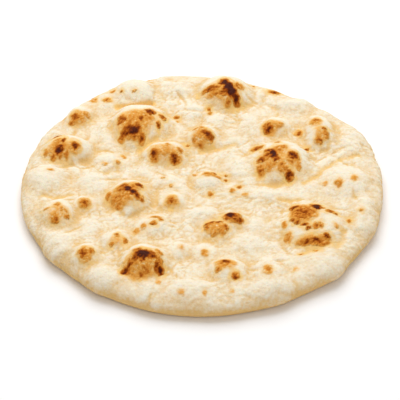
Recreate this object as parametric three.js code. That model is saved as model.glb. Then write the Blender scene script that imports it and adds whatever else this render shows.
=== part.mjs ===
// A round, hand-stretched naan bread, baked in one piece. The underside lies flat, the edge is plump and
// rounded, and the top swells in pillows and blisters. Millimetres, +Z up, the underside at Z = 0 and the
// origin under the middle of the bread. -Y is the near side, +X the right side.

import * as THREE from 'three';
import { mergeVertices } from 'three/addons/utils/BufferGeometryUtils.js';

// Driving dimensions.
const MEAN_RADIUS = 119.5; // from the middle to the widest line of the edge
const RIM_HEIGHT = 13.5; // plain dough at the top of the edge
const MIDDLE_HEIGHT = 11; // plain dough at the middle
const WIDEST_LINE_HEIGHT = 6.5; // where the edge bulges out furthest
const RIM_BULGE = 15; // how far the edge runs out as it turns down from the top
const FOOT_INSET = 6; // how far the flat underside stops inside the widest line
const MOUND_ROUNDNESS = 0.9; // a blister's profile: 1 is a parabola, and less has a fuller top
const OVERLAP_SHARE = 0.25; // how much of the lower blister shows where two meet

// How finely the bread is divided.
const SPOKES = 96;
const TOP_RINGS = 26;
const TURN_STEPS = 5;
const UNDERSIDE_RINGS = 4;

// The outline is a circle stretched by hand: each lobe count swells it by some millimetres, and the
// direction is where its first swelling points, in degrees from +X towards +Y.
const OUTLINE_LOBES = [
  { count: 2, swell: 1.1, direction: -40 },
  { count: 3, swell: 1.2, direction: 8 },
  { count: 4, swell: 1.1, direction: 15 },
  { count: 5, swell: 0.6, direction: 28 },
  { count: 6, swell: 0.4, direction: 26 },
];

// Blisters in the crust: where each one's middle is, its size along X and along Y, and how far it stands
// above the dough around it.
const BLISTERS = [
  { name: 'far rim', at: [16, 94], size: [39, 38], rise: 10 },
  { name: 'far left rim', at: [-46, 97], size: [30, 25], rise: 6 },
  { name: 'far left edge', at: [-84, 68], size: [20, 25], rise: 6 },
  { name: 'far left', at: [-42, 59], size: [41, 47], rise: 10.5 },
  { name: 'left edge, far side', at: [-90, 33], size: [35, 30], rise: 9 },
  { name: 'left rim', at: [-103, 3], size: [29, 28], rise: 5 },
  { name: 'middle, far side', at: [2, 48], size: [22, 24], rise: 7.5 },
  { name: 'far right', at: [50, 58], size: [20, 19], rise: 6 },
  { name: 'right edge, far side', at: [80, 52], size: [22, 35], rise: 7.5 },
  { name: 'ridge left of the middle', at: [-25, 31], size: [33, 25], rise: 7 },
  { name: 'right of the middle', at: [53, 22], size: [43, 44], rise: 9.5 },
  { name: 'middle', at: [4, 3], size: [19, 23], rise: 4.5 },
  { name: 'left of the middle', at: [-48, -15], size: [31, 35], rise: 9.5 },
  { name: 'small, left', at: [-77, -22], size: [16, 16], rise: 4.5 },
  { name: 'small, near the middle', at: [-18, -19], size: [18, 20], rise: 5.5 },
  { name: 'left edge, near side', at: [-93, -33], size: [24, 30], rise: 7 },
  { name: 'right edge', at: [95, 0], size: [34, 35], rise: 5 },
  { name: 'near the middle, left', at: [-32, -43], size: [25, 24], rise: 5 },
  { name: 'twin, far half', at: [20, -38], size: [18, 18], rise: 6.5 },
  { name: 'twin, near half', at: [10, -48], size: [23, 19], rise: 5.5 },
  { name: 'near right', at: [71, -43], size: [43, 48], rise: 7 },
  { name: 'near left, small', at: [-74, -72], size: [19, 21], rise: 5.5 },
  { name: 'near left, low', at: [-55, -58], size: [22, 22], rise: 4.5 },
  { name: 'near left', at: [-36, -79], size: [34, 32], rise: 9.5 },
  { name: 'pale, near side', at: [-15, -67], size: [20, 17], rise: 3 },
  { name: 'near rim', at: [16, -87], size: [27, 24], rise: 5 },
  { name: 'near right rim', at: [42, -86], size: [20, 22], rise: 4 },
  { name: 'near side of the middle', at: [2, -70], size: [18, 19], rise: 3.5 },
];

// Lower pillows of plain dough between the blisters.
const PILLOWS = [
  { at: [-69, -1], size: [30, 25], rise: 3 },
  { at: [-62, 23], size: [27, 21], rise: 2.5 },
  { at: [-23, 2], size: [29, 19], rise: 2.5 },
  { at: [44, -12], size: [34, 18], rise: 3 },
  { at: [25, 18], size: [21, 27], rise: 2.5 },
  { at: [-6, 77], size: [25, 20], rise: 2.5 },
  { at: [10, 66], size: [18, 20], rise: 2.5 },
  { at: [64, 83], size: [30, 21], rise: 3 },
  { at: [32, 64], size: [18, 22], rise: 2.5 },
  { at: [102, 44], size: [20, 36], rise: 3 },
  { at: [107, -34], size: [18, 50], rise: 3 },
  { at: [83, -83], size: [36, 27], rise: 3.5 },
  { at: [31, -60], size: [28, 22], rise: 2.5 },
  { at: [44, -104], size: [35, 24], rise: 2.5 },
  { at: [-7, -105], size: [33, 24], rise: 2.5 },
  { at: [-65, -94], size: [28, 22], rise: 2.5 },
  { at: [-92, -62], size: [26, 26], rise: 3 },
  { at: [-70, -45], size: [22, 19], rise: 2 },
  { at: [-18, 100], size: [28, 18], rise: 3 },
  { at: [-1, -32], size: [26, 19], rise: 2 },
  { at: [35, -44], size: [21, 19], rise: 2 },
  { at: [-63, 56], size: [16, 32], rise: 2 },
];

// The bread's radius in the direction of an angle, in radians.
function outlineRadius(angle) {
  let radius = MEAN_RADIUS;
  for (const lobe of OUTLINE_LOBES) {
    const turned = angle - THREE.MathUtils.degToRad(lobe.direction);
    radius += lobe.swell * Math.cos(lobe.count * turned);
  }
  return radius;
}

// How far the crust stands above plain dough at a point: each blister or pillow is a round mound that runs
// out level with the dough at its own edge. Where two meet, the higher one stands and the lower one adds a
// little, so that a valley stays between them.
function crustRise(x, y) {
  let highest = 0;
  let all = 0;
  for (const swelling of [...BLISTERS, ...PILLOWS]) {
    const across = (x - swelling.at[0]) / (swelling.size[0] / 2);
    const along = (y - swelling.at[1]) / (swelling.size[1] / 2);
    const inside = Math.max(0, 1 - across * across - along * along);
    const mound = swelling.rise * inside ** MOUND_ROUNDNESS;
    highest = Math.max(highest, mound);
    all += mound;
  }
  return THREE.MathUtils.lerp(highest, all, OVERLAP_SHARE);
}

// Half of the bread's section, from the middle of the underside, round the rim and back to the middle of
// the top. It starts and ends on the axis.
function breadSection() {
  const points = [];
  const footRadius = MEAN_RADIUS - FOOT_INSET;
  for (let ring = 0; ring < UNDERSIDE_RINGS; ring += 1) {
    points.push(new THREE.Vector2(footRadius * ring / UNDERSIDE_RINGS, 0));
  }
  const lowerTurn = new THREE.EllipseCurve(
    footRadius, WIDEST_LINE_HEIGHT, FOOT_INSET, WIDEST_LINE_HEIGHT, -Math.PI / 2, 0);
  const rimStart = MEAN_RADIUS - RIM_BULGE;
  const upperTurn = new THREE.EllipseCurve(
    rimStart, WIDEST_LINE_HEIGHT, RIM_BULGE, RIM_HEIGHT - WIDEST_LINE_HEIGHT, 0, Math.PI / 2);
  points.push(...lowerTurn.getPoints(TURN_STEPS));
  points.push(...upperTurn.getPoints(TURN_STEPS).slice(1));
  for (let ring = TOP_RINGS - 1; ring >= 0; ring -= 1) {
    const share = ring / TOP_RINGS;
    const height = THREE.MathUtils.lerp(MIDDLE_HEIGHT, RIM_HEIGHT, share * share);
    points.push(new THREE.Vector2(rimStart * share, height));
  }
  return points;
}

// Joins the corners that a lathed shape repeats along its seam and at its two poles, and leaves out the
// triangles that have shrunk to a line there.
function joinCorners(geometry) {
  geometry.deleteAttribute('normal');
  geometry.deleteAttribute('uv');
  const joined = mergeVertices(geometry, 1e-4);
  const corners = joined.getIndex();
  const kept = [];
  for (let i = 0; i < corners.count; i += 3) {
    const [a, b, c] = [corners.getX(i), corners.getX(i + 1), corners.getX(i + 2)];
    if (a !== b && b !== c && c !== a) {
      kept.push(a, b, c);
    }
  }
  joined.setIndex(kept);
  return joined;
}

// The whole bread: the lathed section stretched to the outline, its top raised by the blisters and pillows,
// and set down with the middle of its outline over the origin.
function naanGeometry() {
  const geometry = joinCorners(new THREE.LatheGeometry(breadSection(), SPOKES).rotateX(Math.PI / 2));
  const position = geometry.getAttribute('position');
  for (let i = 0; i < position.count; i += 1) {
    const angle = Math.atan2(position.getY(i), position.getX(i));
    const stretch = outlineRadius(angle) / MEAN_RADIUS;
    const x = position.getX(i) * stretch;
    const y = position.getY(i) * stretch;
    const lift = 1 + crustRise(x, y) / RIM_HEIGHT;
    position.setXYZ(i, x, y, position.getZ(i) * lift);
  }
  geometry.computeBoundingBox();
  const middle = geometry.boundingBox.getCenter(new THREE.Vector3());
  geometry.translate(-middle.x, -middle.y, -geometry.boundingBox.min.z);
  geometry.computeVertexNormals();
  return geometry;
}

const crust = new THREE.MeshStandardMaterial({ color: '#f1dcb4', roughness: 0.75, metalness: 0 });
const naan = new THREE.Mesh(naanGeometry(), crust);
naan.name = 'naan';

const part = new THREE.Group();
part.add(naan);

export default part;
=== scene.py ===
import itertools
import math

import bpy
import numpy as np
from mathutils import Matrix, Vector


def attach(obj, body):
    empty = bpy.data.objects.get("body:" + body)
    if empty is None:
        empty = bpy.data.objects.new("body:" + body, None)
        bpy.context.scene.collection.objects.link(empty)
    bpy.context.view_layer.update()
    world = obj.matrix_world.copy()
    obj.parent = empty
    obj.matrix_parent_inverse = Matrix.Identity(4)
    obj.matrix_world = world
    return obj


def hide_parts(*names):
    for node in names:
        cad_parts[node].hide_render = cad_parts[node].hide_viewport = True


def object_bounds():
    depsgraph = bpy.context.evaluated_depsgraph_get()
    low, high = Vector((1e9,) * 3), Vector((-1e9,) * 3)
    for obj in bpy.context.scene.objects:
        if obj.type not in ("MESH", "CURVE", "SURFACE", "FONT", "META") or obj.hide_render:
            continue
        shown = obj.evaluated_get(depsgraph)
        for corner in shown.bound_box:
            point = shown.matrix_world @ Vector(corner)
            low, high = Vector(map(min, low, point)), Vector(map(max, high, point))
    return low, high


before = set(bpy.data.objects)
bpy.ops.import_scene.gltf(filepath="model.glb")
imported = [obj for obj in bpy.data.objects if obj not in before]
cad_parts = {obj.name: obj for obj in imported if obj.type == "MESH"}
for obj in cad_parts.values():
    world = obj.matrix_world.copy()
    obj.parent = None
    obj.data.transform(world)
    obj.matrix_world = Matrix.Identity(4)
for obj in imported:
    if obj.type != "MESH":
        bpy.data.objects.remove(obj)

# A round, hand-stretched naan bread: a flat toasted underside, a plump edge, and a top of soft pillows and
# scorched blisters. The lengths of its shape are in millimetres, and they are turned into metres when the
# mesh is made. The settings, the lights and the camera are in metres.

CAD_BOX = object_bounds()

bl_info = {
    "name": "Naan Bread",
    "version": (1, 0, 0),
    "blender": (4, 5, 0),
    "location": "3D View > Sidebar > Naan",
    "description": "Shapes and bakes a round naan bread and sets it on a pale table",
    "category": "Add Mesh",
}

MILLIMETRE = 0.001

# ------------------------------------------------------------
# The bread's plan and section

# From the middle to the widest line of the edge, and that line's height above the table.
MEAN_RADIUS = 119.5
WIDEST_LINE_HEIGHT = 6.5

# How far the edge runs out as it turns down from the top, and how far in again as it turns under.
EDGE_BULGE = 15.0
FOOT_INSET = 6.0

# The outline is a circle stretched by hand: how many swellings, how many millimetres each, and the
# direction of the first one in degrees.
OUTLINE_LOBES = ((2, 1.1, -40), (3, 1.2, 8), (4, 1.1, 15), (5, 0.6, 28), (6, 0.4, 26))

# How finely the bread is divided: cells across the top and across the underside, and points of the section
# over the top and round each turn of the edge.
TOP_CELLS = 280
UNDERSIDE_CELLS = TOP_CELLS // 2
TOP_POINTS = 60
TURN_POINTS = 24

# Where the two round sheets of the crust's flat map lie, as shares of its width.
TOP_SHEET_MIDDLE, TOP_SHEET_RADIUS = 0.35, 0.345
LOW_SHEET_MIDDLE, LOW_SHEET_RADIUS = 0.768, 0.227

# ------------------------------------------------------------
# Blisters: where each one's middle is, its width and depth, how far it stands up, how tight its skin is
# from 0 to 1, and its scorch marks. A mark is (across, along, reach across, reach along, heat), the first
# four as shares of the blister's half width and half depth. Heat runs from 0, raw, to 1, charred, and a
# mark above 1 is charred further out from its middle.

BLISTERS = {
    "far_rim": ((16, 94), (39, 38), 10, 0.9, (
        (0.00, -0.25, 0.60, 0.60, 0.32), (-0.45, -0.15, 0.40, 0.20, 0.66), (-0.30, -0.40, 0.45, 0.22, 0.42),
        (0.00, 0.10, 0.22, 0.25, 1.15), (0.15, -0.15, 0.22, 0.30, 1.30), (0.27, -0.36, 0.20, 0.30, 1.25),
        (0.40, -0.55, 0.15, 0.26, 1.10), (0.00, -0.38, 0.30, 0.18, 0.68), (0.12, -0.68, 0.16, 0.20, 0.44),
        (0.45, -0.60, 0.13, 0.22, 0.40), (0.50, 0.00, 0.25, 0.22, 0.46))),
    "far_left_rim": ((-46, 97), (30, 25), 6, 0.3, ()),
    "far_left_edge": ((-84, 68), (20, 25), 6, 0.6, (
        (0.05, -0.35, 0.65, 0.55, 0.36), (-0.15, -0.36, 0.27, 0.34, 0.74), (0.55, -0.10, 0.40, 0.25, 0.42),
        (-0.35, -0.65, 0.30, 0.25, 0.50))),
    "far_left": ((-42, 59), (41, 47), 10.5, 1.0, (
        (-0.15, -0.20, 0.65, 0.60, 0.36), (-0.58, -0.02, 0.18, 0.24, 0.72), (-0.36, -0.43, 0.23, 0.20, 0.78),
        (-0.20, -0.52, 0.32, 0.17, 1.05), (-0.03, -0.45, 0.14, 0.20, 0.88), (-0.50, -0.55, 0.14, 0.18, 0.82),
        (0.06, -0.07, 0.12, 0.20, 0.72), (0.36, 0.27, 0.20, 0.20, 0.88), (0.20, 0.05, 0.35, 0.30, 0.40),
        (0.75, 0.20, 0.12, 0.16, 0.72), (0.62, -0.18, 0.10, 0.18, 0.64), (0.07, -0.75, 0.15, 0.20, 0.74),
        (-0.57, -0.68, 0.13, 0.18, 0.44), (-0.15, -0.65, 0.35, 0.18, 0.50))),
    "left_edge_far_side": ((-90, 33), (35, 30), 9, 0.9, (
        (-0.35, -0.35, 0.46, 0.62, 0.38), (-0.37, 0.05, 0.20, 0.25, 0.50), (-0.42, 0.55, 0.20, 0.14, 0.70),
        (-0.14, 0.05, 0.12, 0.20, 0.76), (-0.32, -0.45, 0.21, 0.32, 1.05), (-0.50, -0.72, 0.13, 0.25, 0.50),
        (-0.22, -0.78, 0.10, 0.22, 0.46), (0.00, -0.66, 0.11, 0.30, 0.48), (-0.80, -0.43, 0.12, 0.25, 0.44),
        (0.30, -0.22, 0.17, 0.30, 0.85), (0.25, -0.30, 0.30, 0.38, 0.40))),
    "left_rim": ((-103, 3), (29, 28), 5, 0.4, ((0.20, 0.30, 0.18, 0.15, 0.36),)),
    "middle_far_side": ((2, 48), (22, 24), 7.5, 0.9, (
        (-0.20, -0.30, 0.70, 0.75, 0.35), (0.00, -0.12, 0.28, 0.32, 0.80), (0.20, -0.30, 0.30, 0.40, 0.88),
        (0.38, -0.42, 0.26, 0.32, 0.68), (-0.55, 0.40, 0.22, 0.20, 0.50), (-0.20, 0.35, 0.20, 0.25, 0.48),
        (-0.18, -0.70, 0.20, 0.30, 0.50), (-0.65, -0.42, 0.18, 0.26, 0.42))),
    "far_right": ((50, 58), (20, 19), 6, 0.8, (
        (-0.25, -0.35, 0.65, 0.75, 0.34), (-0.48, -0.20, 0.35, 0.45, 0.58), (-0.44, -0.50, 0.36, 0.32, 0.84),
        (0.25, -0.22, 0.42, 0.35, 0.38))),
    "right_edge_far_side": ((80, 52), (22, 35), 7.5, 0.7, (
        (-0.18, 0.32, 0.22, 0.20, 0.74), (-0.20, 0.25, 0.45, 0.33, 0.38), (0.24, -0.18, 0.25, 0.08, 0.60),
        (0.38, -0.40, 0.25, 0.24, 0.50), (0.10, -0.40, 0.50, 0.40, 0.28), (-0.05, -0.68, 0.30, 0.20, 0.52))),
    "ridge_left_of_the_middle": ((-25, 31), (33, 25), 7, 0.8, (
        (-0.03, -0.23, 0.70, 0.60, 0.30), (-0.42, -0.36, 0.20, 0.40, 0.90), (-0.38, -0.42, 0.30, 0.48, 0.50),
        (0.44, -0.60, 0.24, 0.36, 0.86), (0.45, -0.55, 0.32, 0.45, 0.50), (0.15, 0.14, 0.17, 0.28, 0.38),
        (0.64, -0.02, 0.16, 0.28, 0.44))),
    "right_of_the_middle": ((53, 22), (43, 44), 9.5, 0.85, (
        (-0.12, -0.24, 0.75, 0.65, 0.22), (-0.72, 0.50, 0.20, 0.20, 0.66), (-0.40, -0.06, 0.20, 0.26, 0.52),
        (-0.33, 0.14, 0.20, 0.12, 0.80), (-0.22, -0.06, 0.14, 0.28, 1.10), (-0.15, -0.30, 0.16, 0.14, 0.78),
        (-0.58, -0.19, 0.20, 0.14, 0.70), (-0.05, 0.12, 0.24, 0.28, 0.42), (0.12, 0.26, 0.16, 0.22, 0.42),
        (0.38, -0.13, 0.19, 0.20, 0.88), (0.36, -0.25, 0.25, 0.28, 0.42), (0.24, -0.80, 0.15, 0.20, 0.84),
        (0.06, -0.59, 0.20, 0.22, 0.46), (-0.60, -0.54, 0.16, 0.23, 0.50), (0.53, -0.42, 0.12, 0.23, 0.34),
        (-0.34, -0.49, 0.30, 0.22, 0.32))),
    "middle": ((4, 3), (19, 23), 4.5, 0.4, (
        (0.12, 0.30, 0.60, 0.30, 0.40), (0.00, 0.40, 0.25, 0.25, 0.52), (0.42, 0.50, 0.25, 0.14, 0.70),
        (0.60, 0.20, 0.35, 0.22, 0.40))),
    "left_of_the_middle": ((-48, -15), (31, 35), 9.5, 1.0, (
        (-0.25, -0.25, 0.62, 0.65, 0.36), (-0.27, 0.00, 0.34, 0.34, 0.55), (-0.17, 0.15, 0.25, 0.22, 0.72),
        (-0.04, 0.00, 0.22, 0.22, 1.10), (0.22, -0.18, 0.21, 0.22, 1.00), (0.37, -0.33, 0.16, 0.26, 0.85),
        (0.45, 0.35, 0.18, 0.20, 0.80), (0.25, 0.10, 0.30, 0.35, 0.46), (-0.85, -0.10, 0.15, 0.26, 0.46),
        (-0.30, -0.68, 0.23, 0.28, 0.48), (-0.45, -0.45, 0.30, 0.26, 0.50), (-0.05, -0.36, 0.34, 0.28, 0.44),
        (0.58, -0.39, 0.14, 0.24, 0.46))),
    "small_left": ((-77, -22), (16, 16), 4.5, 0.8, (
        (0.07, -0.30, 0.60, 0.70, 0.40), (0.00, -0.30, 0.40, 0.48, 0.64), (0.22, -0.40, 0.24, 0.36, 0.68))),
    "small_near_the_middle": ((-18, -19), (18, 20), 5.5, 0.8, (
        (-0.16, -0.28, 0.60, 0.60, 0.38), (-0.22, -0.20, 0.36, 0.46, 0.60),
        (-0.20, -0.32, 0.18, 0.32, 0.78))),
    "left_edge_near_side": ((-93, -33), (24, 30), 7, 0.8, (
        (-0.04, -0.29, 0.70, 0.62, 0.22), (-0.09, 0.16, 0.20, 0.18, 0.50), (0.14, -0.14, 0.15, 0.20, 0.42),
        (0.43, -0.18, 0.15, 0.14, 0.44), (0.43, -0.43, 0.17, 0.20, 0.50), (-0.14, -0.65, 0.27, 0.17, 0.54),
        (-0.15, -0.55, 0.30, 0.25, 0.42), (-0.59, -0.02, 0.22, 0.10, 0.38))),
    "right_edge": ((95, 0), (34, 35), 5, 0.2, (
        (0.38, -0.08, 0.17, 0.20, 0.28), (-0.25, -0.32, 0.19, 0.28, 0.38), (-0.28, -0.29, 0.12, 0.14, 0.46),
        (-0.78, -0.18, 0.16, 0.17, 0.24))),
    "near_the_middle_left": ((-32, -43), (25, 24), 5, 0.5, (
        (0.16, 0.39, 0.36, 0.15, 0.42), (0.42, 0.19, 0.20, 0.20, 0.42), (0.08, -0.17, 0.20, 0.20, 0.62),
        (-0.40, -0.33, 0.22, 0.28, 0.34), (-0.79, -0.52, 0.25, 0.25, 0.32))),
    "twin_far_half": ((20, -38), (18, 18), 6.5, 0.6, (
        (-0.10, -0.05, 0.75, 0.75, 0.36), (-0.18, 0.10, 0.46, 0.50, 1.20), (-0.42, -0.10, 0.35, 0.42, 0.70),
        (0.25, -0.27, 0.40, 0.36, 0.72), (0.57, -0.30, 0.28, 0.27, 0.70), (0.36, 0.18, 0.36, 0.40, 0.46))),
    "twin_near_half": ((10, -48), (23, 19), 5.5, 0.6, (
        (-0.04, -0.12, 0.78, 0.70, 0.36), (-0.46, 0.41, 0.28, 0.40, 0.72), (-0.30, 0.60, 0.22, 0.24, 0.80),
        (0.07, 0.38, 0.34, 0.25, 0.75), (0.49, -0.10, 0.22, 0.36, 0.60), (0.24, -0.42, 0.28, 0.40, 0.46),
        (-0.15, -0.65, 0.26, 0.26, 0.42), (-0.55, -0.06, 0.18, 0.30, 0.60))),
    "near_right": ((71, -43), (43, 48), 7, 0.6, (
        (-0.20, 0.25, 0.48, 0.44, 0.60), (-0.47, 0.60, 0.17, 0.15, 0.80), (0.18, 0.58, 0.21, 0.18, 1.05),
        (0.22, 0.53, 0.14, 0.18, 1.20), (0.36, 0.52, 0.12, 0.10, 0.60), (-0.10, 0.42, 0.28, 0.20, 0.44),
        (-0.03, 0.37, 0.09, 0.10, 0.62), (-0.51, -0.02, 0.12, 0.10, 0.66), (-0.41, -0.13, 0.11, 0.12, 0.78),
        (-0.19, -0.24, 0.15, 0.08, 0.76), (-0.08, -0.38, 0.11, 0.12, 0.72), (0.14, -0.33, 0.13, 0.14, 0.55),
        (0.29, -0.28, 0.10, 0.14, 0.42), (0.58, 0.40, 0.14, 0.10, 0.66), (-0.80, -0.08, 0.12, 0.17, 0.34),
        (-0.70, -0.56, 0.15, 0.23, 0.38), (0.10, -0.74, 0.16, 0.10, 0.95), (-0.15, -0.80, 0.16, 0.09, 0.82),
        (0.05, -0.78, 0.56, 0.16, 0.58), (0.47, -0.61, 0.14, 0.10, 0.80), (0.40, -0.67, 0.22, 0.13, 0.46))),
    "near_left_small": ((-74, -72), (19, 21), 5.5, 0.9, (
        (0.00, -0.32, 0.58, 0.62, 0.42), (-0.12, -0.30, 0.34, 0.45, 0.68), (0.33, -0.15, 0.27, 0.36, 0.46))),
    "near_left_low": ((-55, -58), (22, 22), 4.5, 0.4, (
        (0.09, -0.30, 0.50, 0.60, 0.20), (0.10, 0.03, 0.18, 0.22, 0.58), (0.52, -0.31, 0.15, 0.26, 0.54),
        (-0.26, -0.68, 0.17, 0.18, 0.48))),
    "near_left": ((-36, -79), (34, 32), 9.5, 1.0, (
        (-0.12, -0.45, 0.78, 0.75, 0.36), (-0.05, -0.16, 0.54, 0.28, 0.80), (-0.04, -0.12, 0.40, 0.27, 1.25),
        (-0.28, 0.10, 0.20, 0.20, 0.70), (0.24, -0.11, 0.22, 0.26, 0.82), (0.32, -0.25, 0.15, 0.18, 0.88),
        (0.52, 0.10, 0.15, 0.24, 0.46), (-0.33, -0.30, 0.22, 0.15, 0.80), (-0.09, -0.36, 0.22, 0.17, 0.72),
        (-0.54, -0.42, 0.22, 0.20, 0.68), (-0.74, -0.62, 0.17, 0.18, 0.76), (-0.66, -0.60, 0.22, 0.30, 0.48),
        (0.43, -0.55, 0.13, 0.24, 0.85), (0.58, -0.62, 0.15, 0.24, 0.82), (0.06, -0.73, 0.19, 0.22, 0.50),
        (-0.12, -0.86, 0.11, 0.15, 0.46), (0.51, -0.34, 0.20, 0.36, 0.50))),
    "pale_near_side": ((-15, -67), (20, 17), 3, 0.2, ((0.20, -0.07, 0.32, 0.50, 0.20),)),
    "near_rim": ((16, -87), (27, 24), 5, 0.7, (
        (-0.07, 0.14, 0.58, 0.56, 0.36), (-0.05, 0.32, 0.30, 0.28, 0.78), (-0.38, -0.25, 0.22, 0.30, 0.44),
        (0.39, -0.60, 0.23, 0.30, 0.58))),
    "near_right_rim": ((42, -86), (20, 22), 4, 0.3, ((0.02, -0.30, 0.35, 0.50, 0.36),)),
    "near_side_of_the_middle": ((2, -70), (18, 19), 3.5, 0.4, ((0.00, -0.26, 0.32, 0.45, 0.35),)),
}

# How full a swelling's shape is: 1 is a parabola, and less has a rounder top and a steeper foot.
BLISTER_FULLNESS = 0.85
PILLOW_FULLNESS = 1.1

# How many times its listed reach a scorch mark really runs out.
MARK_SPREAD = 1.08

# The glow round a scorch mark: how far out in the mark it starts, where 1 is its edge, and how many
# millimetres it runs out from there before it has mostly faded.
GLOW_START = 0.8
GLOW_REACH = 2.6

# Plain pillows, which the heat left pale: middle, width and depth, and how far each stands up.
PILLOWS = (
    ((-69, -1), (30, 25), 3), ((-62, 23), (27, 21), 2.5), ((-23, 2), (29, 19), 2.5),
    ((44, -12), (34, 18), 3), ((25, 18), (21, 27), 2.5), ((-6, 77), (25, 20), 2.5),
    ((10, 66), (18, 20), 2.5), ((64, 83), (30, 21), 3), ((32, 64), (18, 22), 2.5),
    ((102, 44), (20, 36), 3), ((107, -34), (18, 50), 3), ((83, -83), (36, 27), 3.5),
    ((31, -60), (28, 22), 2.5), ((44, -104), (35, 24), 2.5), ((-7, -105), (33, 24), 2.5),
    ((-65, -94), (28, 22), 2.5), ((-92, -62), (26, 26), 3), ((-70, -45), (22, 19), 2),
    ((-18, 100), (28, 18), 3), ((-1, -32), (26, 19), 2), ((35, -44), (21, 19), 2),
    ((-63, 56), (16, 32), 2), ((-68, -19), (13, 19), 1.5),
)

# Small scorched spots that stand on no blister: middle, width and depth, and heat.
SPOTS = (
    ((-75, 94), (5, 4), 0.66), ((-74, 87), (7, 8), 0.34), ((-65, 86), (7, 7), 0.44),
    ((-65, 86), (4, 4), 0.60), ((-63, 104), (8, 5), 0.56), ((-61, 96), (6, 5), 0.36),
    ((-55, 93), (3, 3), 0.46), ((-46, 92), (3, 3), 0.46), ((-37, 114), (6, 3), 0.40),
    ((50, 97), (11, 6), 0.60), ((50, 96), (5, 4), 0.88), ((36, 103), (3, 3), 0.42),
    ((-17, 70), (6, 4), 0.50), ((-16, 65), (4, 4), 0.30), ((5, 76), (4, 6), 0.50),
    ((6, 72), (4, 4), 0.44), ((-52, 27), (5, 5), 0.32), ((-56, 19), (4, 5), 0.42),
    ((-65, 18), (6, 4), 0.28), ((-10, 39), (3, 3), 0.56), ((51, 37), (5, 7), 0.50),
    ((71, 35), (4, 4), 0.60), ((66, 51), (8, 8), 0.34), ((66, 51), (5, 5), 0.60),
    ((16, 10), (3, 3), 0.52), ((16, 5), (3, 3), 0.50), ((-5, 9), (4, 4), 0.36),
    ((6, -10), (5, 6), 0.46), ((21, -7), (5, 6), 0.40), ((25, -3), (4, 4), 0.48),
    ((29, -12), (6, 5), 0.28), ((-25, 4), (4, 4), 0.38), ((-20, -3), (4, 4), 0.38),
    ((-27, -99), (6, 6), 0.22), ((-13, -109), (6, 6), 0.22), ((2, -110), (4, 5), 0.22),
    ((60, -86), (6, 8), 0.20), ((19, -107), (5, 6), 0.16), ((96, -40), (5, 6), 0.38),
    ((104, -31), (4, 5), 0.42), ((87, -35), (5, 4), 0.46), ((87, -48), (4, 5), 0.36),
    ((64, -72), (5, 4), 0.36), ((73, -69), (5, 3), 0.38),
)

# Creases where two swellings press together: the points that each runs through, its depth, and how much
# golden shade is painted along it, where 1 is fully golden and more is golden further out.
CREASES = (
    (((-57, 80), (-50, 80), (-43, 81), (-35, 84)), 3.4, 1.5),
    (((-41, 33), (-36, 37), (-30, 44)), 1.5, 0.6),
    (((-104, -14), (-95, -16), (-86, -12)), 1.2, 0.5),
    (((105, 28), (95, 25), (88, 20), (82, 15), (77, 8), (68, 0)), 1.2, 0.5),
    (((38, -1), (46, -2), (56, -1)), 0.8, 0.3),
    (((0, 34), (12, 36), (22, 41)), 1.0, 0.5),
    (((92, -50), (91, -58), (87, -66)), 0.9, 0.3),
    (((20, 78), (29, 79), (36, 83)), 0.9, 0.4),
    (((51, -17), (58, -19), (64, -18)), 1.0, 0.6),
    (((62, -71), (69, -69), (77, -67)), 1.0, 0.3),
)


# ------------------------------------------------------------
# Layers of roughness: how many millimetres apart each one's humps or cells are, and its seed. A wander has
# a seed for each axis, which count up from the one given.

SWELLING_DRIFT = ((14.0, 11), (14.0, 13))
MARK_WANDER, FINE_MARK_WANDER = (4.5, 14), (2.2, 19)
DOUGH_WANDER, CREASE_WANDER = (24.0, 21), (7.0, 51)
PILLOW_SEED, PRESSED_PATCHES = 31, (34.0, 24)
BROAD_PUFFS, SMALL_PUFFS = (19.0, 32), (9.5, 33)
WRINKLES, WRINKLED_PATCHES, FINE_WRINKLES = (5.0, 25), (28.0, 26), (2.6, 27)
WIDE_CRACKLE, WIDE_CRACKLE_PATCHES = (8.0, 71), (21.0, 72)
FINE_CRACKLE, FINE_CRACKLE_PATCHES = (3.6, 73), (13.0, 74)
NODULES, PUCKERS, FINE_PUCKERS, SCORCH_CRACKLE = (3.4, 63), (5.5, 62), (2.2, 61), (5.0, 75)
DIMPLES, LOW_WANDER, LOW_SPOTS, LOW_SPOT_SIZES = (26.0, 41), (9.0, 42), (24.0, 45), (40.0, 48)
LOW_PATCHES, LOW_MOTTLE = (34.0, 46), (12.0, 47)


# ------------------------------------------------------------
# Repeatable roughness, worked out on whole arrays of points

# Large odd numbers that stir a cell's three whole numbers and the seed together, and then their bits.
CELL_FACTORS = (73856093, 19349663, 83492791)
SEED_FACTOR = 2654435761
STIRRINGS = ((15, 1274126177), (13, 1103515245))
LOW_32_BITS = 0xFFFFFFFF
LOW_24_BITS = 0xFFFFFF

# What brings the humps of a swell to about 1.
SWELL_GAIN = 1.7


def scatter(cell, seed):
    """The same number from 0 to 1 every time for a whole-numbered cell of space."""
    mixed = seed * SEED_FACTOR
    for number, factor in zip(cell, CELL_FACTORS):
        mixed = mixed ^ (number * factor)
    mixed = mixed & LOW_32_BITS
    for shift, factor in STIRRINGS:
        mixed = ((mixed ^ (mixed >> shift)) * factor) & LOW_32_BITS
    return ((mixed ^ (mixed >> 16)) & LOW_24_BITS) / LOW_24_BITS


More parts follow.
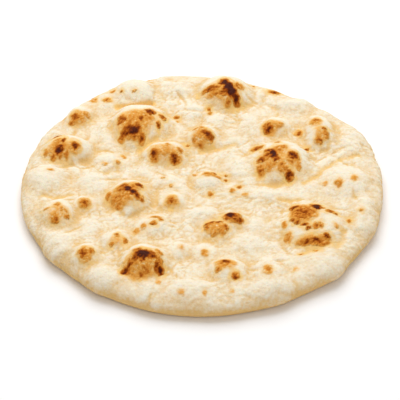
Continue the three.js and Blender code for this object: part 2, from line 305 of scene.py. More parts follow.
def swell(points, size, seed):
    """Soft unevenness from about -1 to 1 whose humps are about size apart."""
    scaled = points / size
    corner = np.floor(scaled).astype(np.int64)
    inside = scaled - corner
    ease = inside * inside * inside * (inside * (inside * 6 - 15) + 10)
    total = np.zeros(len(points))
    for steps in itertools.product((0, 1), repeat=3):
        cell = (corner + steps).T
        weight = np.ones(len(points))
        slope = np.zeros(len(points))
        for axis, step in enumerate(steps):
            weight = weight * (ease[:, axis] if step else 1 - ease[:, axis])
            lean = scatter(cell, seed * 7 + axis) * 2 - 1
            slope = slope + lean * (inside[:, axis] - step)
        total = total + weight * slope
    return total * SWELL_GAIN


def wander(points, size, seed, axes=3):
    """A swell along each axis at once."""
    return np.stack([swell(points, size, seed + axis) for axis in range(axes)], axis=1)


def pebbles(points, size, seed):
    """Distances from each point to the nearest and the second nearest of pebbles scattered about size
    apart."""
    scaled = points / size
    corner = np.floor(scaled).astype(np.int64)
    nearest = np.full(len(points), np.inf)
    second = np.full(len(points), np.inf)
    for steps in itertools.product((-1, 0, 1), repeat=3):
        cell = (corner + steps).T
        apart = np.zeros(len(points))
        for axis in range(3):
            pebble = cell[axis] + scatter(cell, seed * 5 + axis)
            apart = apart + (pebble - scaled[:, axis]) ** 2
        apart = np.sqrt(apart)
        second = np.minimum(second, np.maximum(nearest, apart))
        nearest = np.minimum(nearest, apart)
    return nearest * size, second * size


def crackle(points, size, seed):
    """Thin skin's fine creases, 1 in each crease, where puckered cells about size across meet."""
    drifted = points + size * 0.5 * wander(points, size * 0.9, seed + 1)
    nearest, second = pebbles(drifted, size, seed)
    return np.exp(-((second - nearest) / (size * 0.16)) ** 2)


def ease_between(value, low, high):
    """0 below low, 1 above high, and a smooth step between."""
    share = np.clip((value - low) / (high - low), 0, 1)
    return share * share * (3 - 2 * share)


def blurred(values, cells, reach):
    """A square grid of values softened over reach cells to each side."""
    grid = values.reshape(cells + 1, cells + 1)
    steps = np.arange(-reach, reach + 1)
    weights = np.exp(-(steps / (reach / 2)) ** 2 / 2)
    weights /= weights.sum()
    for _ in range(2):
        padded = np.pad(grid, ((reach, reach), (0, 0)), mode="edge")
        grid = sum(weight * padded[i:i + cells + 1] for i, weight in enumerate(weights)).T
    return grid.ravel()


# ------------------------------------------------------------
# The dough

# How many millimetres the swellings and the creases stray from where they are listed, and how many the
# lines between the soft pillows stray from straight.
SWELLING_STRAY = 1.8
CREASE_STRAY = 0.8
PILLOW_STRAY = 5.0

# How much of the lower swelling shows where two meet.
OVERLAP_SHARE = 0.25

# Between which shares of the way up a blister its skin tightens.
TIGHTENING = (0.0, 0.6)

# Over how many millimetres a crease, the golden shade painted along it, and a faint crease between pillows
# fade.
CREASE_FADE = 2.0
CREASE_SHADE_FADE = 3.2
FAINT_CREASE_FADE = 2.4

# Wrinkles and the crackle of scorched skin run mostly from left to right: how many times closer together
# they lie from near to far.
WRINKLE_SQUASH = (1.0, 2.2, 1.0)
SCORCH_SQUASH = (1.0, 1.7, 1.0)


def outline_radius(angle):
    """The bread's radius in each direction."""
    radius = np.full_like(angle, MEAN_RADIUS)
    for count, reach, direction in OUTLINE_LOBES:
        radius += reach * np.cos(count * (angle - math.radians(direction)))
    return radius


def half_section(dough):
    """Radius and height along the section from the middle of the top, round the edge, to the foot, and the
    distance run along it."""
    edge = dough.edge_height / MILLIMETRE
    middle = dough.middle_height / MILLIMETRE
    turn_start = MEAN_RADIUS - EDGE_BULGE
    foot = MEAN_RADIUS - FOOT_INSET
    share = np.linspace(0, 1, TOP_POINTS)
    turn = np.linspace(0, math.pi / 2, TURN_POINTS)[1:]
    radius = np.concatenate((
        turn_start * share,
        turn_start + EDGE_BULGE * np.sin(turn),
        foot + FOOT_INSET * np.cos(turn),
    ))
    height = np.concatenate((
        middle + (edge - middle) * share ** 2,
        WIDEST_LINE_HEIGHT + (edge - WIDEST_LINE_HEIGHT) * np.cos(turn),
        WIDEST_LINE_HEIGHT * (1 - np.sin(turn)),
    ))
    steps = np.hypot(np.diff(radius), np.diff(height))
    run = np.concatenate(((0.0,), np.cumsum(steps)))
    return radius, height, run / run[-1]


def disc_grid(cells):
    """A square grid drawn out to a disc of radius 1: its points' places across and along, row by row."""
    line = np.linspace(-1, 1, cells + 1)
    across, along = np.meshgrid(line, line)
    return (across * np.sqrt(1 - along ** 2 / 2)).ravel(), (along * np.sqrt(1 - across ** 2 / 2)).ravel()


def plain_top(dough):
    """The top and side of plain dough, before it blisters: points and the directions that they face."""
    across, along = disc_grid(TOP_CELLS)
    share = np.clip(np.hypot(across, along), 0, 1)
    angle = np.arctan2(along, across)
    section_radius, section_height, run = half_section(dough)
    radius = np.interp(share, run, section_radius)
    height = np.interp(share, run, section_height)
    lean_out = -np.interp(share, run, np.gradient(section_height, run))
    lean_up = np.interp(share, run, np.gradient(section_radius, run))
    length = np.hypot(lean_out, lean_up)
    stretch = outline_radius(angle) / MEAN_RADIUS
    points = np.stack((radius * stretch * np.cos(angle), radius * stretch * np.sin(angle), height), axis=1)
    facing = np.stack((lean_out * np.cos(angle), lean_out * np.sin(angle), lean_up), axis=1)
    return points, facing / length[:, None]


def out_from(places, middle, size):
    """How far out each place is from the middle of a round patch: 1 on its edge."""
    across, along = ((places - middle) * 2 / size).T
    return np.hypot(across, along)


def dome(out):
    """1 at the middle of a round patch, falling off like a parabola to 0 at its edge."""
    return np.clip(1 - out ** 2, 0, None)


def swellings(points):
    """How far the blisters and pillows stand above the dough, and how taut the skin is."""
    drift = np.stack([swell(points, *layer) for layer in SWELLING_DRIFT], axis=1)
    places = points[:, :2] + SWELLING_STRAY * drift
    highest = np.zeros(len(points))
    total = np.zeros(len(points))
    taut = np.zeros(len(points))
    for middle, size, rise, tightness, _ in BLISTERS.values():
        inside = dome(out_from(places, middle, size))
        height = rise * inside ** BLISTER_FULLNESS
        highest = np.maximum(highest, height)
        total += height
        taut = np.maximum(taut, tightness * ease_between(inside, *TIGHTENING))
    for middle, size, rise in PILLOWS:
        height = rise * dome(out_from(places, middle, size)) ** PILLOW_FULLNESS
        highest = np.maximum(highest, height)
        total += height
    return highest * (1 - OVERLAP_SHARE) + total * OVERLAP_SHARE, taut


def scorch_marks():
    """The middle, width and depth, and heat of every scorch mark, in millimetres."""
    for middle, size, _, _, marks in BLISTERS.values():
        for across, along, reach_across, reach_along, heat in marks:
            place = (middle[0] + across * size[0] / 2, middle[1] + along * size[1] / 2)
            spread = (MARK_SPREAD * reach_across * size[0], MARK_SPREAD * reach_along * size[1])
            yield place, spread, heat
    yield from SPOTS


def scorching(points):
    """The heat of the scorch marks at each point, and the glow that runs out from them."""
    ragged = wander(points, *MARK_WANDER, axes=2) + 0.5 * wander(points, *FINE_MARK_WANDER, axes=2)
    places = points[:, :2] + ragged
    heat = np.zeros(len(points))
    glow = np.zeros(len(points))
    for middle, size, mark_heat in scorch_marks():
        out = out_from(places, middle, size)
        heat = np.maximum(heat, mark_heat * dome(out))
        apart = np.clip(out - GLOW_START, 0, None) * min(size) / 2
        glow = np.maximum(glow, mark_heat * np.exp(-(apart / GLOW_REACH) ** 2))
    return heat, glow


def crease_field(points):
    """How deep the pressed creases run at each point, and how much golden shade is painted along them."""
    deep = np.zeros(len(points))
    golden = np.zeros(len(points))
    places = points[:, :2] + CREASE_STRAY * wander(points, *CREASE_WANDER, axes=2)
    for route, depth, shade_strength in CREASES:
        route = np.array(route, dtype=float)
        for start, end in zip(route[:-1], route[1:]):
            along = end - start
            share = np.clip((places - start) @ along / (along @ along), 0, 1)
            apart = np.linalg.norm(places - start - share[:, None] * along, axis=1)
            deep = np.maximum(deep, depth * np.exp(-(apart / CREASE_FADE) ** 2))
            golden = np.maximum(golden, shade_strength * np.exp(-(apart / CREASE_SHADE_FADE) ** 2))
    return deep, golden


def dough_field(points, dough):
    """The soft puffs, faint creases and fine wrinkles of the crust between its blisters."""
    drifted = points + PILLOW_STRAY * wander(points, *DOUGH_WANDER)
    nearest, second = pebbles(drifted, dough.pillow_size / MILLIMETRE, PILLOW_SEED)
    pressed = np.exp(-((second - nearest) / FAINT_CREASE_FADE) ** 2)
    pressed = pressed * ease_between(swell(points, *PRESSED_PATCHES), -0.1, 0.5)
    puff = 0.65 * swell(drifted, *BROAD_PUFFS) + 0.35 * swell(drifted, *SMALL_PUFFS)
    wrinkle = swell(drifted * WRINKLE_SQUASH, *WRINKLES)
    wrinkle = wrinkle * ease_between(swell(points, *WRINKLED_PATCHES), -0.1, 0.6)
    wrinkle += 0.4 * swell(drifted, *FINE_WRINKLES)
    return puff, pressed, wrinkle


def skin_crackle(points):
    """The crackle lines of two sizes, each of which comes and goes over the crust."""
    wide = crackle(points, *WIDE_CRACKLE) * ease_between(swell(points, *WIDE_CRACKLE_PATCHES), -0.3, 0.4)
    fine = 0.6 * crackle(points, *FINE_CRACKLE)
    fine = fine * ease_between(swell(points, *FINE_CRACKLE_PATCHES), -0.3, 0.4)
    return wide + fine


# ------------------------------------------------------------
# The baked crust

# Over which heights, in millimetres, the side turns into the top, and over which the relief fades out
# towards the foot.
SIDE_HEIGHTS = (1.0, 9.0)
RELIEF_HEIGHTS = (0.5, 7.0)

# Over which shares of the bread's radius the rim begins.
RIM_SHARES = (0.78, 0.92)

# Over which heats the skin starts to blister.
BLISTERING_HEATS = (0.15, 0.5)

# How far, in millimetres, scorched skin stands out over its nodules and its coarse and fine puckers, how
# deep its crackle lines run, and how far it has shrunk back.
NODULE_RISE = 0.6
PUCKER_RISE = 0.4
FINE_PUCKER_RISE = 0.3
SCORCH_CRACKLE_DEPTH = 0.45
SHRINKAGE = 0.22

# How much hotter the top of a nodule gets than its foot.
NODULE_HEAT = 0.22

# Over how many cells to each side the swellings, the creases, the slopes and the nearby heights are
# softened.
MOUND_BLUR = 5
CREASE_BLUR = 2
SLOPE_BLUR = 2
HOLLOW_BLUR = 8
FOLD_BLUR = 3

# How many millimetres below its surroundings the bottom of a full hollow and of a full fold lies.
HOLLOW_DEPTH = 0.9
FOLD_DEPTH = 0.25


def blistered_top(dough):
    """The top and side of the baked bread, and what the crust's finish needs to know at each point."""
    points, facing = plain_top(dough)
    mounds, taut = swellings(points)
    heat, glow = scorching(points)
    deep, golden = crease_field(points)
    puff, pressed, wrinkle = dough_field(points, dough)
    side = 1 - ease_between(points[:, 2], *SIDE_HEIGHTS)
    rim = ease_between(np.hypot(points[:, 0], points[:, 1]) / MEAN_RADIUS, *RIM_SHARES)
    slack = (1 - 0.8 * taut) * (1 - 0.5 * side)
    blistering = ease_between(heat, *BLISTERING_HEATS)
    nodule = 1 - pebbles(points, *NODULES)[0] / NODULES[0]

    broad = blurred(mounds, TOP_CELLS, MOUND_BLUR) - blurred(deep, TOP_CELLS, CREASE_BLUR)
    broad += slack * dough.puff_rise / MILLIMETRE * puff
    broad -= slack * (1 - 0.7 * rim) * dough.crease_depth / MILLIMETRE * pressed

    fine = slack * dough.wrinkle_depth / MILLIMETRE * wrinkle
    fine -= (0.25 + 0.75 * slack) * (1 - 0.7 * rim) * dough.crackle_depth / MILLIMETRE * skin_crackle(points)
    fine += blistering * (NODULE_RISE * nodule + FINE_PUCKER_RISE * swell(points, *FINE_PUCKERS)
                          + PUCKER_RISE * swell(points, *PUCKERS) - SHRINKAGE)
    fine -= SCORCH_CRACKLE_DEPTH * blistering * crackle(points * SCORCH_SQUASH, *SCORCH_CRACKLE)

    relief = (broad + fine) * ease_between(points[:, 2], *RELIEF_HEIGHTS)
    baked = points + facing * relief[:, None]
    # The hollow, fold, steep and side values tint the crust: painted shade in hollows, creases and on steep
    # flanks, paler painted crests, and down the side partly browner crust and partly painted shade.
    marks = {
        "scorch": heat + blistering * (nodule - 0.5) * NODULE_HEAT,
        "glow": glow,
        "hollow": np.clip((blurred(relief, TOP_CELLS, HOLLOW_BLUR) - relief) / HOLLOW_DEPTH, -1, 1),
        "fold": np.clip((blurred(relief, TOP_CELLS, FOLD_BLUR) - relief) / FOLD_DEPTH, -1, 1),
        "golden": golden,
        "taut": taut,
        "side": side,
        "steep": 1 - lift(baked, TOP_CELLS),
    }
    return baked, marks


def lift(points, cells):
    """How far up the surface of a square grid of points faces: 1 straight up and 0 sideways or down."""
    grid = points.reshape(cells + 1, cells + 1, 3)
    facing = np.cross(np.gradient(grid, axis=1), np.gradient(grid, axis=0))
    length = np.maximum(np.linalg.norm(facing, axis=2), 1e-9)
    return blurred(np.clip(facing[:, :, 2] / length, 0, 1).ravel(), cells, SLOPE_BLUR)


# How high, in millimetres, steam held the underside's dimples off the oven.
DIMPLE_HEIGHT = 0.7

# How many millimetres the underside's toasted spots stray from round, their radius and how much it varies.
LOW_SPOT_STRAY = 3.0
LOW_SPOT_RADIUS = 7.0
LOW_SPOT_VARIETY = 3.0

# The heat all over the underside, and what its patches and its spots add.
LOW_HEAT = 0.18
LOW_PATCH_HEAT = 0.2
LOW_SPOT_HEAT = 0.5


def underside(dough):
    """The flat underside as a disc of points, with gentle dimples where steam held it off the oven, and
    what its finish needs to know."""
    across, along = disc_grid(UNDERSIDE_CELLS)
    share = np.clip(np.hypot(across, along), 0, 1)
    angle = np.arctan2(along, across)
    radius = (MEAN_RADIUS - FOOT_INSET) * share * outline_radius(angle) / MEAN_RADIUS
    points = np.stack((radius * np.cos(angle), radius * np.sin(angle), np.zeros(len(share))), axis=1)
    inwards = 1 - ease_between(share, 0.9, 1.0)
    dimples = ease_between(swell(points, *DIMPLES), 0.0, 0.7)
    points[:, 2] = DIMPLE_HEIGHT * dimples * inwards
    nearest, _ = pebbles(points + LOW_SPOT_STRAY * wander(points, *LOW_WANDER), *LOW_SPOTS)
    patches = ease_between(swell(points, *LOW_PATCHES) + 0.5 * swell(points, *LOW_MOTTLE), -0.3, 0.9)
    spot_radius = LOW_SPOT_RADIUS + LOW_SPOT_VARIETY * swell(points, *LOW_SPOT_SIZES)
    spots = np.clip(1 - nearest / spot_radius, 0, 1) ** 0.8
    heat = LOW_HEAT + LOW_PATCH_HEAT * patches + LOW_SPOT_HEAT * spots * (0.4 + 0.6 * patches)
    heat = heat * (1 - dimples * 0.7) * inwards
    level = np.zeros(len(share))
    marks = {
        "scorch": heat,
        "glow": heat * 0.5,
        # The dimples take a little painted shade.
        "hollow": dimples * 0.3,
        "fold": level,
        "golden": level,
        "taut": level + 0.4,
        "side": level + 1,
        "steep": level + 1,
    }
    return points, marks


def grid_faces(cells):
    """The four corners of every cell of a square grid, anticlockwise seen from above."""
    row, column = np.divmod(np.arange(cells * cells), cells)
    corner = row * (cells + 1) + column
    return np.stack((corner, corner + 1, corner + cells + 2, corner + cells + 1), axis=1)


def underside_faces(top_count):
    """Faces of the underside, seen from below. Its own edge is the foot of the side wall, whose cells are
    half as wide, so a face there also takes in the corner halfway along its outer edge."""
    low, high = 0, UNDERSIDE_CELLS
    across, along = np.meshgrid(np.arange(high + 1), np.arange(high + 1))
    on_foot = ((across == low) | (across == high) | (along == low) | (along == high)).ravel()
    number = np.empty((high + 1) ** 2, dtype=np.int64)
    foot_corner = 2 * along.ravel() * (TOP_CELLS + 1) + 2 * across.ravel()
    number[on_foot] = foot_corner[on_foot]
    number[~on_foot] = top_count + np.arange(np.count_nonzero(~on_foot))
    faces = []
    for corners in grid_faces(high)[:, ::-1]:
        face = []
        for here, there in zip(corners, np.roll(corners, -1)):
            face.append(int(number[here]))
            if on_foot[here] and on_foot[there]:
                row_a, column_a = divmod(int(here), high + 1)
                row_b, column_b = divmod(int(there), high + 1)
                same_edge = (row_a == row_b and row_a in (low, high)) or (
                    column_a == column_b and column_a in (low, high))
                if same_edge:
                    face.append((row_a + row_b) * (TOP_CELLS + 1) + column_a + column_b)
        faces.append(face)
    return faces, ~on_foot


def bread_mesh(dough):
    """The whole closed bread as one mesh, in metres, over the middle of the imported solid."""
    top_points, top_marks = blistered_top(dough)
    low_points, low_marks = underside(dough)
    top_faces = grid_faces(TOP_CELLS)
    low_faces, inner = underside_faces(len(top_points))
    points = np.concatenate((top_points, low_points[inner]))
    middle = (points.max(0) + points.min(0)) / 2
    points[:, :2] -= middle[:2]
    solid_middle = (Vector(CAD_BOX[0]) + Vector(CAD_BOX[1])) / 2
    points = points * MILLIMETRE + np.array((solid_middle.x, solid_middle.y, CAD_BOX[0][2]))
    mesh = bpy.data.meshes.new("naan_bread")
    mesh.from_pydata(points.tolist(), [], top_faces.tolist() + low_faces)
    for name, top_values in top_marks.items():
        attribute = mesh.attributes.new(name, "FLOAT", "POINT")
        values = np.concatenate((top_values, low_marks[name][inner]))
        attribute.data.foreach_set("value", values.astype(np.float32))
    lay_out_map(mesh, len(top_points), len(top_faces), inner)
    mesh.shade_smooth()
    mesh.update()
    return mesh


def lay_out_map(mesh, top_point_count, top_face_count, inner):
    """Gives every corner of every face its place on a flat map of the crust, for baking: the top and side
    are one round sheet there, and the underside is a smaller one."""
    top_sheet = np.stack(disc_grid(TOP_CELLS), axis=1)
    low_sheet = np.concatenate((top_sheet, np.stack(disc_grid(UNDERSIDE_CELLS), axis=1)[inner]))
    vertex = np.empty(len(mesh.loops), dtype=np.int64)
    mesh.loops.foreach_get("vertex_index", vertex)
    top_corners = top_face_count * 4
    place = np.empty((len(mesh.loops), 2))
    place[:top_corners] = TOP_SHEET_MIDDLE + TOP_SHEET_RADIUS * top_sheet[vertex[:top_corners]]
    mirrored = low_sheet[vertex[top_corners:]] * (-1, 1)
    place[top_corners:] = LOW_SHEET_MIDDLE + LOW_SHEET_RADIUS * mirrored
    layer = mesh.uv_layers.new(name="OFBake")
    layer.data.foreach_set("uv", place.astype(np.float32).ravel())


# ------------------------------------------------------------
# Shader maths

class Signal:
    """A number on its way through a material: arithmetic on it adds Math nodes."""

    def __init__(self, finish, socket):
        self.finish = finish
        self.socket = socket

    def worked(self, operation, *values):
        """One Math node on these values."""
        return self.finish.node("ShaderNodeMath", {"operation": operation}, dict(enumerate(values)))

    def __add__(self, other):
        return self.worked("ADD", self, other)

    __radd__ = __add__

    def __sub__(self, other):
        return self.worked("SUBTRACT", self, other)

    def __rsub__(self, other):
        return self.worked("SUBTRACT", other, self)

    def __mul__(self, other):
        return self.worked("MULTIPLY", self, other)

    __rmul__ = __mul__

    def between(self, low, high):
        """0 below low, 1 above high, and a smooth step between."""
        return self.finish.node(
            "ShaderNodeMapRange", {"interpolation_type": "SMOOTHSTEP"},
            {"Value": self, "From Min": low, "From Max": high})


class Finish:
    """The nodes of one material."""

    def __init__(self, name):
        self.material = bpy.data.materials.new(name)
        self.material.use_nodes = True
        self.tree = self.material.node_tree
        self.tree.nodes.clear()

    def node(self, kind, settings=None, sockets=None, output=0):
        """Adds a node: its settings first, then its sockets by name or number, each from a plain value or
        from another node's result. A ramp's stops are (place, colour) pairs."""
        node = self.tree.nodes.new(kind)
        for name, value in (settings or {}).items():
            if name == "stops":
                self.set_stops(node.color_ramp, value)
            else:
                setattr(node, name, value)
        for name, value in (sockets or {}).items():
            if isinstance(value, Signal):
                self.tree.links.new(value.socket, node.inputs[name])
            else:
                node.inputs[name].default_value = value
        return Signal(self, node.outputs[output])

    def set_stops(self, ramp, stops):
        """Gives a colour ramp its stops."""
        while len(ramp.elements) < len(stops):
            ramp.elements.new(1.0)
        for element, (place, colour) in zip(ramp.elements, stops):
            element.position = place
            element.color = (*colour, 1.0)

    def shown(self, surface):
        """Makes this surface what the material shows, and returns the material."""
        output = self.tree.nodes.new("ShaderNodeOutputMaterial")
        self.tree.links.new(surface.socket, output.inputs["Surface"])
        return self.material

    def measured(self, name):
        """What the mesh knows at each point under this name."""
        return self.node("ShaderNodeAttribute", {"attribute_name": name}, output="Fac")

    def mottle(self, place, size, detail=2.0, roughness=0.5):
        """Soft noise from 0 to 1 with blotches about size across, in millimetres."""
        return self.node("ShaderNodeTexNoise", None, {
            "Vector": place, "Scale": 1 / (size * MILLIMETRE), "Detail": detail, "Roughness": roughness})

    def mixed(self, first, second, share):
        """One colour turning into another as share goes from 0 to 1."""
        return self.node("ShaderNodeMix", {"data_type": "RGBA"}, {0: share, 6: first, 7: second}, output=2)


def opaque(colour):
    """A colour property as the four numbers that a socket takes."""
    return (*colour, 1.0)


# How many millimetres across the blotches of the crust's three noises are.
CLOUD_SIZE = 16.0
FLECK_SIZE = 3.6
GRAIN_SIZE = 1.7

# From which heat each colour of a scorch shows.
SCORCH_STOPS = {"honey": 0.03, "gold": 0.15, "amber": 0.33, "brown": 0.55, "dark": 0.74, "char": 0.94}

# How light sinks into the crust: how much of it, how far red, green and blue go, and the scale in metres.
SINKING_SHARE = 0.12
SINKING_REACH = (1.0, 0.55, 0.22)
SINKING_SCALE = 0.0025


def crust_finish(colours):
    """Baked crust: pale floury dough with uneven warm patches, painted warm as shade in its hollows, creases
    and on its steep flanks and paler on its crests, a side that is partly browner crust and partly painted
    shade, and scorches that run from gold through brown to grainy char as the heat rises."""
    finish = Finish("crust")
    place = finish.node("ShaderNodeTexCoord", output="Object")
    heat, glow, hollow, fold, steep, golden, side, taut = (finish.measured(name) for name in (
        "scorch", "glow", "hollow", "fold", "steep", "golden", "side", "taut"))

    cloud = finish.mottle(place, CLOUD_SIZE, 3.0)
    fleck = finish.mottle(place, FLECK_SIZE, 3.0, 0.6)
    grain = finish.mottle(place, GRAIN_SIZE, 3.0, 0.6)

    near_heat = heat.between(0.02, 0.42)
    # Scorched skin is painted darker in its creases and lighter on its crests, as shade and light, on top of
    # its heat and mottling.
    toast_and_fold_shade = heat + ((fleck - 0.5) * 0.45 + (grain - 0.5) * 0.65 + fold * 0.14 - 0.03) * near_heat
    # Painted shade: the hollows, creases and steep flanks turn to the warm colour and the crests to the pale
    # one; down the side this is partly browner crust and partly painted shade, and the noises are the dough's
    # own uneven colour.
    warmth_and_shade = (hollow * 0.33 + fold * 0.28 + (cloud - 0.5) * 0.6 + (fleck - 0.5) * 0.6 + (grain - 0.5) * 0.8
              + steep * 0.65 + side * 0.3)
    dough = finish.mixed(opaque(colours.pale), opaque(colours.warm_and_shaded), warmth_and_shade.between(-0.4, 0.85))
    # The golden tinge along the creases is painted shade; the halo round the scorch marks is the crust's own
    # browning.
    halo_and_crease_shade = golden * (0.5 + fleck) + glow.between(0.0, 0.6) * (0.72 + (fleck - 0.5) + (cloud - 0.5) * 0.7)
    dough = finish.mixed(dough, opaque(colours.honey), halo_and_crease_shade.between(0.0, 1.0))
    stops = [(stop, getattr(colours, name)) for name, stop in SCORCH_STOPS.items()]
    scorch = finish.node("ShaderNodeValToRGB", {"stops": stops}, {"Fac": toast_and_fold_shade})
    colour = finish.mixed(dough, scorch, toast_and_fold_shade.between(0.0, 0.22))

    height = grain * 0.6 + fleck * (1 - taut * 0.6) * 0.9 + (grain * 0.6 + fleck) * near_heat
    bump = finish.node("ShaderNodeBump", None, {"Strength": 1.0, "Distance": MILLIMETRE, "Height": height})
    roughness = 0.75 - toast_and_fold_shade.between(0.35, 0.9) * 0.2 - taut * 0.08 + (fleck - 0.5) * 0.15
    surface = finish.node("ShaderNodeBsdfPrincipled", None, {
        "Base Color": colour, "Roughness": roughness, "Normal": bump,
        "Coat Weight": toast_and_fold_shade.between(0.7, 1.0) * 0.08, "Coat Roughness": 0.4,
        "Specular IOR Level": 0.03, "Subsurface Weight": SINKING_SHARE,
        "Subsurface Radius": SINKING_REACH, "Subsurface Scale": SINKING_SCALE})
    return finish.shown(surface)


# How many millimetres across the table's faint blotches are.
TABLE_CLOUD_SIZE = 60.0


def table_finish(colours):
    """A plain, pale, matt tabletop."""
    finish = Finish("pale_table")
    place = finish.node("ShaderNodeTexCoord", output="Object")
    cloud = finish.mottle(place, TABLE_CLOUD_SIZE)
    surface = finish.node("ShaderNodeBsdfPrincipled", None, {
        "Base Color": opaque(colours.table), "Roughness": 0.85 + cloud * 0.1, "Specular IOR Level": 0.1})
    return finish.shown(surface)


# ------------------------------------------------------------
# What a user would change

def length_choice(name, description, metres):
    """A length property with its name, what it is and its default."""
    return bpy.props.FloatProperty(name=name, description=description, default=metres, unit="LENGTH")


def colour_choice(name, description, red, green, blue):
    """A colour property with its name, what it colours and its default."""
    return bpy.props.FloatVectorProperty(
        name=name, description=description, subtype="COLOR", size=3, min=0, max=1, default=(red, green, blue))


class NaanDough(bpy.types.PropertyGroup):
    """The sizes of the bread."""

    edge_height: length_choice("Edge height", "Plain dough at the top of the edge", 0.0135)
    middle_height: length_choice("Middle height", "Plain dough at the middle", 0.011)
    pillow_size: length_choice("Pillow size", "How far apart the soft pillows are", 0.026)
    puff_rise: length_choice("Puff rise", "How far the soft puffs swell", 0.0018)
    crease_depth: length_choice("Crease depth", "How deep the faint creases run", 0.0009)
    wrinkle_depth: length_choice("Wrinkle depth", "How deep the crust wrinkles", 0.00045)
    crackle_depth: length_choice("Crackle depth", "How deep the skin's fine creases run", 0.0004)


class NaanColours(bpy.types.PropertyGroup):
    """The colours of the crust and of the table."""

    pale: colour_choice("Pale dough", "Floury dough on the pillows", 0.875, 0.81, 0.665)
    # The warm colour is painted shade in the hollows, creases and on steep flanks, partly browner crust down
    # the side, and the dough's own warm patches.
    warm_and_shaded: colour_choice("Warm dough", "Dough in the hollows and down the side", 0.76, 0.50, 0.20)
    # Honey is also painted along the creases as golden shade.
    honey: colour_choice("Honey", "The first tinge of heat", 0.86, 0.57, 0.21)
    gold: colour_choice("Gold", "Lightly baked spots", 0.82, 0.43, 0.105)
    amber: colour_choice("Amber", "Well baked spots", 0.70, 0.27, 0.035)
    brown: colour_choice("Brown", "Scorched spots", 0.44, 0.11, 0.008)
    dark: colour_choice("Dark brown", "Deeply scorched spots", 0.19, 0.032, 0.002)
    char: colour_choice("Char", "Burnt tips", 0.07, 0.011, 0.004)
    table: colour_choice("Table", "The tabletop", 0.95, 0.96, 0.99)


class NaanStage(bpy.types.PropertyGroup):
    """The camera and the light."""

    lens: bpy.props.FloatProperty(
        name="Lens", description="The camera's focal length", default=218.0, unit="CAMERA")
    look_down: bpy.props.FloatProperty(
        name="Look down", description="How steeply the camera looks down on the bread",
        default=math.radians(40.5), subtype="ANGLE")
    distance: length_choice("Distance", "From the camera to the bread", 1.6)
    window_power: bpy.props.FloatProperty(
        name="Window light", description="Power of the broad light from behind", default=21.0, unit="POWER")
    fill_power: bpy.props.FloatProperty(
        name="Fill light", description="Power of the soft light from the near side", default=3.6,
        unit="POWER")
    room_light: bpy.props.FloatProperty(
        name="Room light", description="Strength of the light from all round", default=0.50, min=0)


# ------------------------------------------------------------
# Operators

def put_in_scene(name, data):
    """A new object of this data, in the scene."""
    thing = bpy.data.objects.new(name, data)
    bpy.context.scene.collection.objects.link(thing)
    return thing


class NAAN_OT_bread(bpy.types.Operator):
    """Shape the naan bread and give it its baked crust"""

    bl_idname = "naan.bread"
    bl_label = "Bake the Bread"

    def execute(self, context):
        bread = put_in_scene("naan_bread", bread_mesh(context.scene.naan_dough))
        bread.data.materials.append(crust_finish(context.scene.naan_colours))
        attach(bread, "root")
        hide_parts("naan")
        return {"FINISHED"}


# How many metres the table runs out from the middle on each side.
TABLE_REACH = 4.0


def lay_table(colours):
    """A plain table under the bread."""
    base = CAD_BOX[0][2]
    mesh = bpy.data.meshes.new("table")
    corners = [(-1, -1), (1, -1), (1, 1), (-1, 1)]
    mesh.from_pydata([(x * TABLE_REACH, y * TABLE_REACH, base) for x, y in corners], [], [(0, 1, 2, 3)])
    mesh.materials.append(table_finish(colours))
    table = put_in_scene("table", mesh)


def hang_light(name, size, power, colour, place, aim):
    """A square soft light of that size and colour at a place, turned to face aim."""
    lamp = bpy.data.lights.new(name, "AREA")
    lamp.size = size
    lamp.energy = power
    lamp.color = colour
    light = put_in_scene(name, lamp)
    light.location = place
    light.rotation_euler = (aim - place).to_track_quat("-Z", "Y").to_euler()


# Daylight, and light that has come back off the walls of the room.
WHITE_LIGHT = (1.0, 1.0, 1.0)
WARM_LIGHT = (1.0, 0.965, 0.90)

# Each light's size, and where it hangs from the middle of the bread's foot, in metres.
WINDOW_SIZE = 1.5
WINDOW_PLACE = Vector((-0.1, 0.8, 1.35))
FILL_SIZE = 1.0
FILL_PLACE = Vector((0.3, -1.2, 1.3))


def light_room(stage, foot):
    """A broad light high behind the bread, a weak fill, and pale light from all round."""
    hang_light("window", WINDOW_SIZE, stage.window_power, WHITE_LIGHT, foot + WINDOW_PLACE, foot)
    hang_light("fill", FILL_SIZE, stage.fill_power, WARM_LIGHT, foot + FILL_PLACE, foot)
    room = bpy.data.worlds.new("room")
    room.use_nodes = True
    background = room.node_tree.nodes["Background"]
    background.inputs["Color"].default_value = opaque(WARM_LIGHT)
    background.inputs["Strength"].default_value = stage.room_light
    bpy.context.scene.world = room


# Where the camera looks, from the middle of the bread's foot, in metres, and its sensor's width in
# millimetres.
CAMERA_AIM = Vector((-0.0015, -0.0106, 0.006))
SENSOR_WIDTH = 36.0


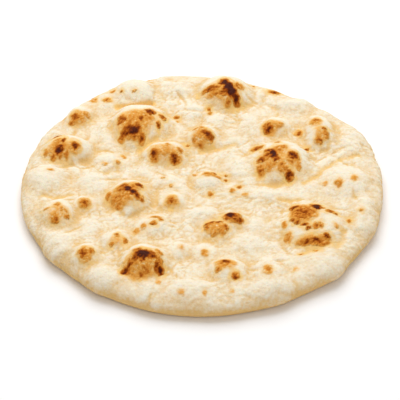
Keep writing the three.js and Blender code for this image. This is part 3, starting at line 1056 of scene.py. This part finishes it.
def set_camera(stage, foot):
    """A long lens looking down on the bread from its near side."""
    lens = bpy.data.cameras.new("camera")
    lens.lens = stage.lens
    lens.sensor_width = SENSOR_WIDTH
    camera = put_in_scene("camera", lens)
    back = Vector((0, -math.cos(stage.look_down), math.sin(stage.look_down)))
    camera.location = foot + CAMERA_AIM + back * stage.distance
    camera.rotation_euler = (math.pi / 2 - stage.look_down, 0, 0)
    bpy.context.scene.camera = camera


class NAAN_OT_stage(bpy.types.Operator):
    """Lay the table, hang the lights and set the camera"""

    bl_idname = "naan.stage"
    bl_label = "Set the Table"

    def execute(self, context):
        low, high = (Vector(corner) for corner in CAD_BOX)
        foot = Vector(((low.x + high.x) / 2, (low.y + high.y) / 2, low.z))
        lay_table(context.scene.naan_colours)
        light_room(context.scene.naan_stage, foot)
        set_camera(context.scene.naan_stage, foot)
        context.scene.view_settings.view_transform = "Standard"
        return {"FINISHED"}


class NAAN_PT_sidebar(bpy.types.Panel):
    """The bread's operators and settings"""

    bl_label = "Naan Bread"
    bl_space_type = "VIEW_3D"
    bl_region_type = "UI"
    bl_category = "Naan"

    def draw(self, context):
        for operator in (NAAN_OT_bread, NAAN_OT_stage):
            self.layout.operator(operator.bl_idname)
        for name in SETTINGS:
            settings = getattr(context.scene, name)
            for choice in settings.bl_rna.properties:
                if choice.identifier not in ("rna_type", "name"):
                    self.layout.prop(settings, choice.identifier)


SETTINGS = {"naan_dough": NaanDough, "naan_colours": NaanColours, "naan_stage": NaanStage}
CLASSES = (*SETTINGS.values(), NAAN_OT_bread, NAAN_OT_stage, NAAN_PT_sidebar)


def register():
    for one in CLASSES:
        bpy.utils.register_class(one)
    for name, settings in SETTINGS.items():
        setattr(bpy.types.Scene, name, bpy.props.PointerProperty(type=settings))


def unregister():
    for name in SETTINGS:
        delattr(bpy.types.Scene, name)
    for one in reversed(CLASSES):
        bpy.utils.unregister_class(one)


def main():
    register()
    bpy.ops.naan.bread()
    bpy.ops.naan.stage()


if __name__ == "__main__":
    main()
